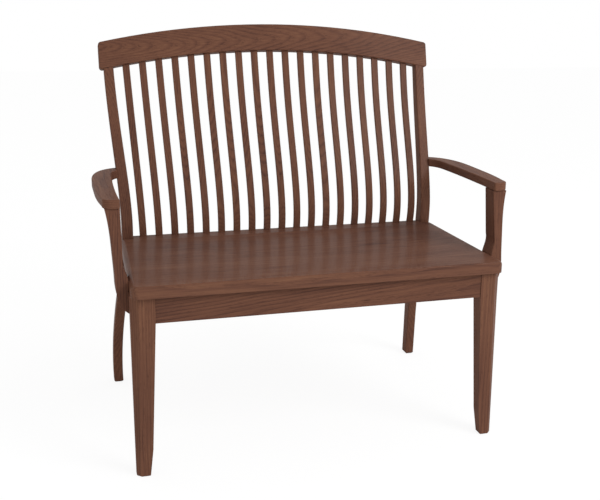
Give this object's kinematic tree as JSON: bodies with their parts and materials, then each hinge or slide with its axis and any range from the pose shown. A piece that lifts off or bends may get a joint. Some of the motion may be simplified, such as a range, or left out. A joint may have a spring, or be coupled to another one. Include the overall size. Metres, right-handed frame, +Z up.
{
  "type": "deacons bench",
  "caption": "Wooden deacons bench with a scooped plank seat, tapered front legs, a fanned curved slat back under an arched crest rail, and open arms.",
  "frame": {"origin": "on the floor under the middle of the bench's overall box", "axes": "+X to the right as seen from in front of the bench, -Y towards the person in front of it, +Z up"},
  "size_m": [0.9976, 0.6202, 0.9918],
  "materials": {
    "stained_oak": "brown stained oak under satin lacquer",
    "poplar": "planed, unfinished",
    "beech": "turned, unfinished",
    "zinc_steel": "bright zinc plate"
  },
  "bodies": {
    "root": {"seat": "stained_oak", "crest_rail": "stained_oak", "front_rail": "stained_oak", "rear_rail": "stained_oak", "side_rail_left": "stained_oak", "side_rail_right": "stained_oak", "front_leg_left": "stained_oak", "front_leg_right": "stained_oak", "back_post_left": "stained_oak", "back_post_right": "stained_oak", "arm_left": "stained_oak", "arm_right": "stained_oak", "arm_post_left": "stained_oak", "arm_post_right": "stained_oak", "back_slat_01": "stained_oak", "back_slat_02": "stained_oak", "back_slat_03": "stained_oak", "back_slat_04": "stained_oak", "back_slat_05": "stained_oak", "back_slat_06": "stained_oak", "back_slat_07": "stained_oak", "back_slat_08": "stained_oak", "back_slat_09": "stained_oak", "back_slat_10": "stained_oak", "back_slat_11": "stained_oak", "back_slat_12": "stained_oak", "back_slat_13": "stained_oak", "back_slat_14": "stained_oak", "back_slat_15": "stained_oak", "back_slat_16": "stained_oak", "back_slat_17": "stained_oak", "back_slat_18": "stained_oak", "back_slat_19": "stained_oak", "corner_block_front_left": "poplar", "corner_block_front_right": "poplar", "corner_block_rear_left": "poplar", "corner_block_rear_right": "poplar", "arm_dowels": "beech", "seat_screws": "zinc_steel", "arm_post_screws": "zinc_steel"}
  },
  "joints": []
}
